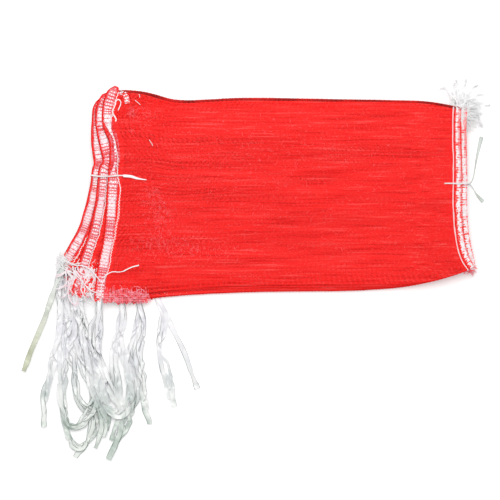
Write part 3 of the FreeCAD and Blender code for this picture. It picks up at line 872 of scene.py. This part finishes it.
def make_ribbon(bag):
    """Drawstring inside the casings: an upper length that turns at the corner, and two lower ones."""
    tie_share = np.interp(-mouth_tie_y, -bag.mouth.points[:, 1], bag.mouth.share)
    upper, lower = Shape(), Shape()
    down = np.linspace(END_FOLD / bag.mouth.length, tie_share + 0.04, 90)
    front, front_width = ribbon_run(bag, down, bag.front_level + 0.1, 70 + bag.number)
    back, back_width = ribbon_run(bag, down, bag.back_level - 0.1, 90 + bag.number)
    angle = np.linspace(0, math.pi, 9)[1:-1]
    reach = (front[0, 2] - back[0, 2]) / 2
    turn = (front[0] + back[0]) / 2 - bag.mouth.ahead(down[0]) * reach * np.sin(angle)[:, None]
    turn[:, 2] += reach * np.cos(angle)
    line = np.concatenate([front[::-1], turn, back])
    width = np.concatenate([front_width[::-1], np.full(len(turn), front_width[0]), back_width])
    upper.film(line, width, 0.0, 0.12)
    if bag is top_bag:
        upper.film(lay(bspline(plan(ribbon_flap), 8), bag.middle + 0.4), 7.0, 0.05, 0.15)
    bag.wear(upper, "drawstring_upper", bunched_film, "drawstring", "ribbon", smooth=True)
    share = np.linspace(tie_share - 0.02, 1.004, 110)
    for level, seed in ((bag.front_level, 110), (bag.back_level, 130)):
        lower.film(*ribbon_run(bag, share, level, seed + bag.number), 0.0, 0.1)
    piece = lower.piece(bag.name + "drawstring_lower", bunched_film, "ribbon", smooth=True)
    leave = bag.mouth.at(1.0)
    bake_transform(piece)
    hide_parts(bag.name + "drawstring")


# ---------------------------------------------------------------- frayed net and lint


def loose_ends(shape, roots, heading, spread, reach, seed, width=0.4, drop=0.0):
    """Short curved fibres from roots: heading is their mean angle in plan, spread its range."""
    dice = np.random.default_rng(seed)
    roots = np.asarray(roots, float)
    count = len(roots)
    angle = heading + dice.uniform(-spread, spread, count)
    length = dice.uniform(*reach, count)
    bend = dice.uniform(-1.6, 1.6, count)
    share = np.linspace(0, 1, 7)
    turned = angle[:, None] + bend[:, None] * share
    step = length[:, None] / 6
    x = roots[:, :1] + np.cumsum(np.cos(turned) * step, 1)
    y = roots[:, 1:2] + np.cumsum(np.sin(turned) * step, 1)
    z = roots[:, 2:3] + dice.uniform(-0.4, 0.8, (count, 1)) - drop * share**2
    shape.yarns(np.stack([x, y, np.maximum(z, 0.3)], -1), width, 0.3)


def scattered(draw, x, y, count):
    """Roots of fibres: x and y are what the draw needs for each, its range or its middle and spread."""
    return np.column_stack([draw(*x, count), draw(*y, count), np.zeros(count)])


# Frayed yarns at the open end of each hem: how many, and their least and greatest length.
frays = [(20, 3, 9), (20, 3, 12), (24, 3, 9), (30, 4, 12), (30, 3, 9), (26, 3, 9), (34, 3, 11), (30, 3, 10)]


def make_frays(bag):
    """Frayed net at the open -Y end of the hem, half of its yarns stretched thin."""
    count, *reach = frays[bag.number - 1]
    dice = np.random.default_rng(900 + bag.number)
    heading = math.atan2(bag.out[1], bag.out[0])
    for part, material in enumerate((net, worn_net)):
        shape = Shape()
        across = dice.uniform(-7, 13, count)
        roots = bag.beside(bag.foot_share - dice.uniform(0.01, 0.035, count), across)
        lay(roots, dice.uniform(bag.low + 0.3, bag.high - 0.1, count))
        loose_ends(shape, roots, heading, 0.7, reach, 920 + 10 * part + bag.number, 0.5 + 0.5 * part, 1.0)
        bag.wear(shape, "mouth_hem_frays_%d" % (part + 1), material, "mouth_hem")


# The stretch of the -Y edge, by X, along which the top net has come undone, and the Y of that edge.
undone = (-213, -154)
edge_y = -122


def make_fringe():
    """Net that has come undone along the -Y edge by the open corner: single yarns across a few wales."""
    dice = np.random.default_rng(51)
    shape, plain = Shape(), Shape()
    count = 150
    x, y = dice.uniform(*undone, count), dice.uniform(-134, -120, count)
    foot = -140.5 + 1.2 * wander(x, 7, 999) + dice.uniform(-1.5, 1.5, count)
    share = np.linspace(0, 1, 6)
    sway = dice.uniform(-4, 4, (count, 1)) * share**2 + dice.uniform(-1, 1, (count, 6)) * 0.5
    top = height(PILE_TOP, x, y)[:, None] + 0.6 + dice.uniform(-0.3, 0.5, (count, 1))
    lines = np.stack([x[:, None] + sway, y[:, None] + (foot - y)[:, None] * share, top - 2.5 * share], -1)
    shape.yarns(lines[::2], 0.7, 0.3)
    plain.yarns(lines[1::2], 0.6, 0.3)
    over = np.linspace(undone[0] + 2, undone[1], 40)
    for wale in range(4):
        y = -130.0 - 2.8 * wale + 0.7 * wander(over, 9, 1000 + wale)
        z = height(PILE_TOP, over, edge_y) - 0.3 * wale + 0.8
        shape.yarns(np.stack([over, y, z], 1)[None], 0.9, 0.35)
    turn = np.linspace(0, 5.2, 16)
    for curl in range(9):
        x, y = dice.uniform(-200, -158), dice.uniform(-134, -120)
        radius = dice.uniform(3, 6) * (1 + 0.08 * turn)
        x, y = x + radius * np.cos(turn + curl), y + 0.6 * radius * np.sin(turn + curl)
        z = height(PILE_TOP, x, np.maximum(y, edge_y)) + 1.3
        shape.yarns(np.stack([x, y, z], 1)[None], 0.7, 0.3)
    top_bag.wear(shape, "front_panel_fringe_1", frayed_net, "front_panel")
    top_bag.wear(plain, "front_panel_fringe_2", open_net, "front_panel")


# Lint that clings to the top net: where its patches lie, how far they reach, and how many fibres.
lint_patches = [
    (-176, 110, 1.6, 5, 90), (-150, 0, 8, 12, 120), (-138, -32, 8, 16, 220), (-150, -62, 26, 7, 200),
    (-95, -72, 34, 7, 200), (-170, 102, 12, 14, 130), (-10, 60, 70, 30, 200), (120, 10, 80, 60, 260),
    (-60, -10, 80, 50, 260),
]
lint_from, lint_to, lint_aside = -182, 228, 112  # it stays within these, along X and to both sides


def make_lint():
    """Short pale fibres on the top net."""
    shape = Shape()
    dice = np.random.default_rng(61)
    for number, (x, y, reach_x, reach_y, count) in enumerate(lint_patches):
        roots = scattered(dice.normal, (x, reach_x), (y, reach_y), count)
        x, y = roots[:, 0], roots[:, 1]
        roots = roots[(np.abs(y) < lint_aside) & (x > lint_from) & (x < lint_to)]
        loose_ends(shape, lay(roots, PILE_TOP, 0.3), 0.0, math.pi, (1.5, 5), 980 + number, 0.3)
    top_bag.wear(shape, "front_panel_lint", faded_net, "front_panel")


# ---------------------------------------------------------------- seams

FLAT_ON_FLOOR = 0.7  # level of a thread that lies on the floor
thread_lint = 9  # short fibres that stand off each stretch of a seam's loose thread
INNER_PITCH, OUTER_PITCH = 2.3, 1.9  # of the overlock's stitches, and of the loops round the cut edge


def seam_phase(bag, pitch, start=0.0):
    """Steps along a seam, eight for each stitch, and the angle of the stitch at each."""
    step = np.arange(int(bag.seam.length / pitch) * 8) / 8 + start
    return step, step * 2 * math.pi


def sew_loops(shape, bag, share, across, phase, width, lift=0.0):
    """Thread that runs over and under the seam."""
    points = lay(bag.seam.beside(share, across), bag.middle + 1.0 * np.sin(phase), lift)
    shape.yarns(points[None], width, 0.35)


def make_seam_fluff(bag, fluff, ends):
    """Fluff at the +Y end of a seam and along its loose thread, and frays at the -Y end."""
    seam = bag.seam
    dice = np.random.default_rng(940 + bag.number)
    for shape, first, last, count, heading, reach, drop in (
            (fluff, 0.0, 0.08, 64, 0.35, (7, 26), 0.6), (ends, 0.975, 1.0, 22, -1.6, (3, 9), 0.3)):
        share = dice.uniform(first, last, count)
        roots = lay(seam.beside(share, dice.uniform(0, seam_width, count)), bag.middle)
        loose_ends(shape, roots, heading, 1.0, reach, 960 + bag.number, 0.5, drop * bag.middle)
    route = np.array(seam_thread_routes[bag.number - 1])
    for first, (x, y, share) in enumerate(route[1:], start=1):
        share_back = dice.uniform(0, 1, (thread_lint, 1))
        roots = np.tile(seam.at(0.0), (thread_lint, 1)) + [seam_width / 2, 0, 0]
        roots[:, :2] += (x, y) + share_back * (route[first - 1, :2] - (x, y))
        roots[:, 2] = FLAT_ON_FLOOR + share * bag.middle
        loose_ends(fluff, roots, math.atan2(y, x), 1.7, (2.5, 7), 980 + 10 * bag.number + first, 0.45)


def make_seam(bag):
    """Overlocked seam: a chain stitch along its inner edge, and loops round the net's cut edge."""
    shape, outer, fluff, ends = Shape(), Shape(), Shape(), Shape()
    seam = bag.seam
    for start, direction in ((0.0, 1), (0.5, -1)):
        step, phase = seam_phase(bag, INNER_PITCH, start)
        loose = wander(step * INNER_PITCH, 4, 800 + bag.number + direction)
        share = np.clip((step + 0.34 * direction * np.sin(phase)) / int(seam.length / INNER_PITCH), 0, 1)
        spread = eased((share - 0.25) / 0.2)
        across = 4.7 + 1.4 * spread + (2.1 + 1.2 * spread) * np.cos(phase) + (0.4 + 0.3 * spread) * loose
        sew_loops(shape, bag, share, across, phase, 1.1)
    step, phase = seam_phase(bag, OUTER_PITCH)
    share = step / step[-1]
    wide = 1.5 + 1.1 * eased((share - 0.3) / 0.1) + 0.6 * wander(step, 1.3, 840 + bag.number)
    middle = eased((share - 0.25) / 0.1) * eased((0.75 - share) / 0.2)
    across = 7.7 + (wide - 1.5) * -0.6 + wide * np.cos(phase)
    sew_loops(outer, bag, share, across, phase, 0.8 + 0.6 * middle[None], 0.1)
    share = np.linspace(0, 1, 100)
    points = seam.beside(share, -0.6 - 0.4 * wander(share * 210, 12, 7 + bag.number))
    for side in (1, -1):
        line = Line(lay(points, bag.middle + side * 0.9, 0.3 * side))
        shape.yarns(chain(line, *seam_chain, 0.0), 0.7, 0.45)
    make_seam_fluff(bag, fluff, ends)
    for part, name, material, slot in (
            (shape, "thread", thread, "thread"), (outer, "outer_thread", pink_lint, "thread"),
            (fluff, "fluff", lint, "thread"), (ends, "frays", frayed_net, "net")):
        part.rest_on_bundle(bag.name + "bottom_seam_" + name, material, bag.name + "bottom_seam", slot)


# ---------------------------------------------------------------- cords


def cord_line(name, points):
    """Dense line along the NURBS spline of a cord's route, in millimetres."""
    curve = bpy.data.curves.new(name + "_route", "CURVE")
    curve.dimensions = "3D"
    curve.resolution_u = 16
    spline = curve.splines.new("NURBS")
    spline.points.add(len(points) - 1)
    for place, point in zip(spline.points, points):
        place.co = (point[0] * MM, point[1] * MM, point[2] * MM, 1.0)
    spline.order_u = 3
    spline.use_endpoint_u = True
    route = bpy.data.objects.new(name + "_route", curve)
    mesh = bpy.data.meshes.new_from_object(route)
    line = np.empty(len(mesh.vertices) * 3)
    mesh.vertices.foreach_get("co", line)
    bpy.data.objects.remove(route)
    bpy.data.curves.remove(curve)
    bpy.data.meshes.remove(mesh)
    return Line(line.reshape(-1, 3) / MM)


def declare_cord(piece, line, length, body, node):
    """Attach the mesh of a free cord to its body, and hide the node that it stands for."""
    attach(piece, body)
    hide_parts(node)
    path = line.at(np.linspace(0, 1, 120)) * MM
    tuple(path[0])


def tail_points(bag, route, level, layer):
    """Route of a tail: out of its hem, down to the floor and on in its own layer."""
    rest = floor_gap + ribbon_thickness / 2 + layer * tail_pitch
    fall = [-bag.exit[1] + lead_out / 2, -bag.exit[1] + drop_run]
    levels = [height(level, *bag.exit[:2]), rest]
    points = np.array([bag.exit, bag.exit + bag.out * lead_out, *(bag.exit + plan(route))])
    points[:, 2] = np.interp(-points[:, 1], fall, levels)
    return points


# Tails of a single film. The others part into three strips, which turn over now and then.
single_tails = [(6, "front"), (1, "back")]
strip_widths = (7.2, 6.2, 4.8)
single_width = 7.6
first_flip, next_flip = (20, 80), (45, 120)  # how far on, at least and at most
flip_run = (10, 22)
unturned_end = 25


def make_tail(bag, end, route, length, level, layer):
    """One free end of a drawstring."""
    name = bag.name + "tail_" + end
    line = cord_line(name, tail_points(bag, route, level, layer))
    seed = 150 + 4 * layer
    single = (bag.number, end) in single_tails
    shape = Shape()
    dice = np.random.default_rng(seed)
    for ply in range(1 if single else len(strip_widths)):
        share = np.linspace(0, 1.01 - 0.04 * ply * (1 + layer % 3), int(line.length / 1.8))
        run = share * line.length
        free = eased(run / 30)
        lean = wander(run, 24, seed + ply)
        turn = free * (0.6 * lean + 0.3 * wander(run, 9, seed + ply + 40))
        apart, width = 0.8 * lean, single_width
        if not single:
            width = strip_widths[ply] + dice.uniform(-0.6, 0.2)
            apart = (strip_widths[0] - width / 2) * np.clip(1.9 * wander(run, 30, seed + ply + 100), -1, 1)
            flip_at = dice.uniform(*first_flip)
            while flip_at < line.length - unturned_end:
                half_turn = math.pi * dice.choice([-1, 1])
                turn = turn + half_turn * eased((run - flip_at) / dice.uniform(*flip_run))
                flip_at += dice.uniform(*next_flip)
        if ply == 0:
            width = width + (single_width - width) * eased((run - line.length + 40) / 25)
            apart = apart * eased((line.length - run) / 18)
        upright = np.abs(np.sin(turn))
        uneven = (0.04 if single else 0.12) * wander(run, 12, seed + 80 + ply)
        width = width * (1 + uneven) * (1 - 0.4 * upright * free)
        points = line.beside(share, apart * free)
        lift = upright * width / 2 + free * (0.4 * ply + 0.3 * (1 + lean))
        crumple = (0.08 if single else 0.16) * wander(run, 4.5, seed + ply + 60)
        points[:, 2] += np.minimum(lift, 2.5) + free * crumple
        shape.film(points, width, turn, free * 0.5 * wander(run, 7, seed + ply + 20))
    piece = shape.piece(name, single_film if single and bag.number == 6 else film, "ribbon")
    declare_cord(piece, line, length, bag.body, bag.name + "drawstring_tails")


def make_tails(bag):
    """Both free ends of a bag's drawstring."""
    routes, lengths = tail_routes[bag.number - 1], tail_lengths[bag.number - 1]
    layers = 2 * bag.number - 1, 2 * bag.number - 2
    for end, route, length, (_, level), layer in zip(("front", "back"), routes, lengths, bag.sides(), layers):
        make_tail(bag, end, route, length, level, layer)


def make_loose_thread(name, points, length, seed, strands, spread):
    """A free thread: strands twisted together that come apart towards the end."""
    line = cord_line(name, points)
    shape = Shape()
    share = np.linspace(0, 1, int(line.length / 0.8))
    run = share * line.length
    left = line.left(share)
    over = np.cross(left, line.ahead(share))
    for strand in range(strands):
        angle = run / 2.2 + strand * 2 * math.pi / strands
        open_by = 0.3 + spread * eased((share - 0.35) / 0.65) * (0.6 + 0.4 * wander(run, 5, seed + strand))
        stray = 0.4 * share * wander(run, 3.5, seed + strand + 30)
        points = line.at(share) + left * (np.cos(angle) * open_by + stray)[:, None]
        points += over * (np.abs(np.sin(angle)) * open_by * 0.8)[:, None]
        points[:, 2] = np.maximum(points[:, 2], 0.3)
        shape.yarns(points[None], 0.6, 0.4)
    declare_cord(shape.piece(name, thread, "thread"), line, length, "bundle", "thread_tails")


def make_seam_threads():
    """Free ends of the seam threads, in a tuft at the +Y ends of the seams."""
    rest = floor_gap + thread_diameter / 2
    for bag, route, length in zip(bags, seam_thread_routes, seam_thread_lengths):
        start = bag.seam.at(0.0) + [seam_width / 2, 0, 0]
        leave = height(bag.middle, start[0], start[1])
        points = [[start[0] + x, start[1] + y, rest + share * (leave - rest)] for x, y, share in route]
        points = [[start[0], start[1], leave]] + points
        make_loose_thread(bag.name + "seam_thread_end", points, length, 300 + 10 * bag.number, 9, 1.7)


def make_mouth_threads():
    """Free thread ends that lie over the mouths."""
    anchors = [top_bag.corner] + [top_bag.exit] * 3
    routes = [corner_thread_route] + exit_thread_routes
    lengths = [corner_thread_length] + exit_thread_lengths
    for number, (anchor, route, length) in enumerate(zip(anchors, routes, lengths), start=1):
        points = [(anchor[0] + dx, anchor[1] + dy, dz) for dx, dy, dz in route]
        points = [[x, y, height(PILE_TOP, x, y) + dz + 1.1] for x, y, dz in points]
        make_loose_thread("mouth_thread_end_%d" % number, points, length, 420 + 10 * number, 3, 0.5)


# Snarled thread at the open end of bag 6's hem: how far its stray ends reach from the middle. And bits of
# thread on the top bag's hem: from X, Y to X, Y.
stray_ends = [(14, -4), (20, 3), (30, -8), (12, -16), (24, -22), (34, -2)]
thread_bits = [(-166, 130, -165, 126), (-171, 122, -164, 116), (-153, 71, -148, 63), (-189, 136, -188, 131)]


def make_tangle():
    """Snarled stitch thread at the open end of the hem that reaches furthest to the side."""
    bag = bags[5]
    tangle, shreds = Shape(), Shape()
    dice = np.random.default_rng(77)
    centre = bag.exit + [-3.0, 4.0, height(bag.high, *bag.exit[:2]) + 0.8]
    for _ in range(15):
        loops = dice.normal(0, 1, (9, 3)) * [5.2, 7.0, 1.3]
        line = bspline(np.clip(loops, [-10, -14, -2.5], [10, 14, 2.5]) + centre, 10)
        tangle.strands(line[None], 0.7, 0.5)
    for reach in stray_ends:
        middle = dice.uniform(-5, 5, (3, 3)) * [1, 1, 0.1]
        way = np.linspace(0.25, 0.8, 3)[:, None] * [*reach, 0.0]
        line = bspline(np.concatenate([[centre], centre + way + middle, [centre + [*reach, 0.0]]]), 10)
        tangle.strands(lay(line, bag.high + 2.0, 1.0)[None], 0.55, 0.45)
    for x, y, to_x, to_y in thread_bits:
        line = bspline(plan([(x, y), ((x + to_x) / 2 + 1, (y + to_y) / 2), (to_x, to_y)]), 6)
        tangle.strands(lay(line, PILE_TOP, 0.9)[None], 0.8, 0.4)
    roots = scattered(dice.normal, (-233, 13), (-112, 15), 120)
    roots = lay(roots[roots[:, 0] < -208], bag.high + 2.0, 0.4)
    loose_ends(tangle, roots, -1.2, 1.6, (4, 14), 88, 0.6, 2.0)
    roots = scattered(dice.uniform, (-262, -216), (-124, -88), 110)
    roots = lay(roots[roots[:, 1] + 0.7 * (roots[:, 0] + 214) < -97], bag.high + 2.0, 0.6)
    loose_ends(shreds, roots, -1.5, 0.5, (8, 24), 89, 1.7, 3.0)
    tangle.rest_on_bundle("hem_stitch_tangle", lint, "thread_tails", smooth=True)
    shreds.rest_on_bundle("hem_stitch_shreds", pink_lint, "thread_tails")


# ---------------------------------------------------------------- ties


def make_tie(name, y, seed):
    """Film strand tied round the pile. Gives the X of its +X side."""
    left, right = (corner.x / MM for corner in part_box(name))
    over = np.linspace(left, right, 30)
    top = height(PILE_TOP, over, y) + 0.9
    ring = [[x, y + dy, z] for x, dy, z in zip(over, 0.7 * wander(over, 12, seed), top)]
    ring += [[right, y, z] for z in np.linspace(top[-1] - 1, 1.2, 10)]
    ring += [[x, y, 0.2] for x in np.linspace(right, left, 30)]
    ring += [[left, y, z] for z in np.linspace(1.2, top[0] - 1, 10)]
    ring += ring[:1]
    width = tie_width * (0.85 + 0.2 * wander(np.arange(len(ring)), 6, seed + 1))
    shape = Shape()
    shape.strands(np.array(ring)[None], width, 0.55, side=[0.0, 1.0, 0.0])
    shape.rest_on_bundle(name + "_film", tie_film, name, "tie", smooth=True)
    return right


def make_tie_tail(name, x, y, low, route, length, widths, seed, material):
    """Flat free end of a tie."""
    line = cord_line(name, [[x + dx, y + dy, low] for dx, dy in route])
    share = np.linspace(0, 1, 40)
    run = share * line.length
    points = line.at(share)
    points[:, 2] += 0.3 + 0.3 * wander(run, 9, seed)
    first, last = widths
    width = first + (last - first) * eased((share - 0.35) / 0.65)
    shape = Shape()
    shape.film(points, width, 0.3 * wander(run, 14, seed + 1), 0.3)
    piece = shape.piece(name, material, "tie", smooth=True)
    declare_cord(piece, line, length, "bundle", "tie_tails")


def make_ties():
    """Both ties and their free ends."""
    right = make_tie("mouth_tie", mouth_tie_y, 500)
    make_tie_tail("mouth_tie_end", right, mouth_tie_y, PILE_TOP + 0.6, mouth_tie_route, mouth_tie_length,
                  (3.6, 1.2), 510, tie_film)
    right = make_tie("bottom_tie", bottom_tie_y, 520)
    for number, (route, length) in enumerate(zip(bottom_tie_routes, bottom_tie_lengths), start=1):
        low = floor_gap + (number - 1) * tail_pitch + 0.2
        make_tie_tail("bottom_tie_end_%d" % number, right, bottom_tie_y, low, route, length,
                      (1.6, 5.0), 530 + number, grey_tie_film)


for bag in bags:
    make_tails(bag)
make_seam_threads()
make_mouth_threads()
make_tangle()
make_ties()
for bag in bags:
    make_panels(bag)
    make_hem(bag)
    make_frays(bag)
    make_hem_stitch(bag)
    make_ribbon(bag)
    make_seam(bag)
make_fringe()
make_lint()

# ---------------------------------------------------------------- floor and light, in metres

FLOOR_REACH = 6.0
FLOOR_LEVEL = -0.0004
FLOOR_GLOW = 0.25
LAMP_SIZE = 1.4
LAMP_PLACE = (-0.1, 0.75, 2.1)
LAMP_TILT = -21  # degrees
LAMP_POWER = 33.0
SURROUND = 0.55  # strength of the light from all sides


def make_floor():
    """White floor that shows white to the camera and keeps the shadow."""
    mesh = bpy.data.meshes.new("floor")
    corners = [(x * FLOOR_REACH, y * FLOOR_REACH, 0) for x, y in ((-1, -1), (1, -1), (1, 1), (-1, 1))]
    mesh.from_pydata(corners, [], [(0, 1, 2, 3)])
    material, tree, shader = new_material("floor")
    path = add_node(tree, "LightPath").outputs
    seen = add_node(tree, "Math", {0: path["Is Camera Ray"], 1: path["Is Glossy Ray"]}, operation="MAXIMUM")
    glow = add_node(tree, "Math", {0: seen.outputs[0], 1: FLOOR_GLOW}, operation="MULTIPLY")
    wire(tree, shader, {"Base Color": (0.9, 0.9, 0.9, 1.0), "Roughness": 0.9,
                        "Emission Color": (*WHITE, 1.0), "Emission Strength": glow.outputs[0]})
    mesh.materials.append(material)
    floor = show("floor", mesh)
    floor.location.z = FLOOR_LEVEL


def make_lights():
    """One large soft lamp beyond the +Y side, and an even white surround."""
    lamp = bpy.data.lights.new("key", "AREA")
    lamp.shape = "SQUARE"
    lamp.size = LAMP_SIZE
    lamp.energy = LAMP_POWER
    key = show("key", lamp)
    key.location = LAMP_PLACE
    key.rotation_euler = (math.radians(LAMP_TILT), 0, 0)
    world = bpy.data.worlds.new("world")
    bpy.context.scene.world = world
    world.use_nodes = True
    tree = world.node_tree
    seen = add_node(tree, "LightPath").outputs["Is Camera Ray"]
    strength = add_node(tree, "MapRange", {"Value": seen, "To Min": SURROUND, "To Max": 1.0})
    wire(tree, tree.nodes["Background"], {"Color": (*WHITE, 1.0), "Strength": strength.outputs["Result"]})


make_floor()
make_lights()
bpy.context.scene.view_settings.view_transform = "Standard"

bpy.context.view_layer.update()
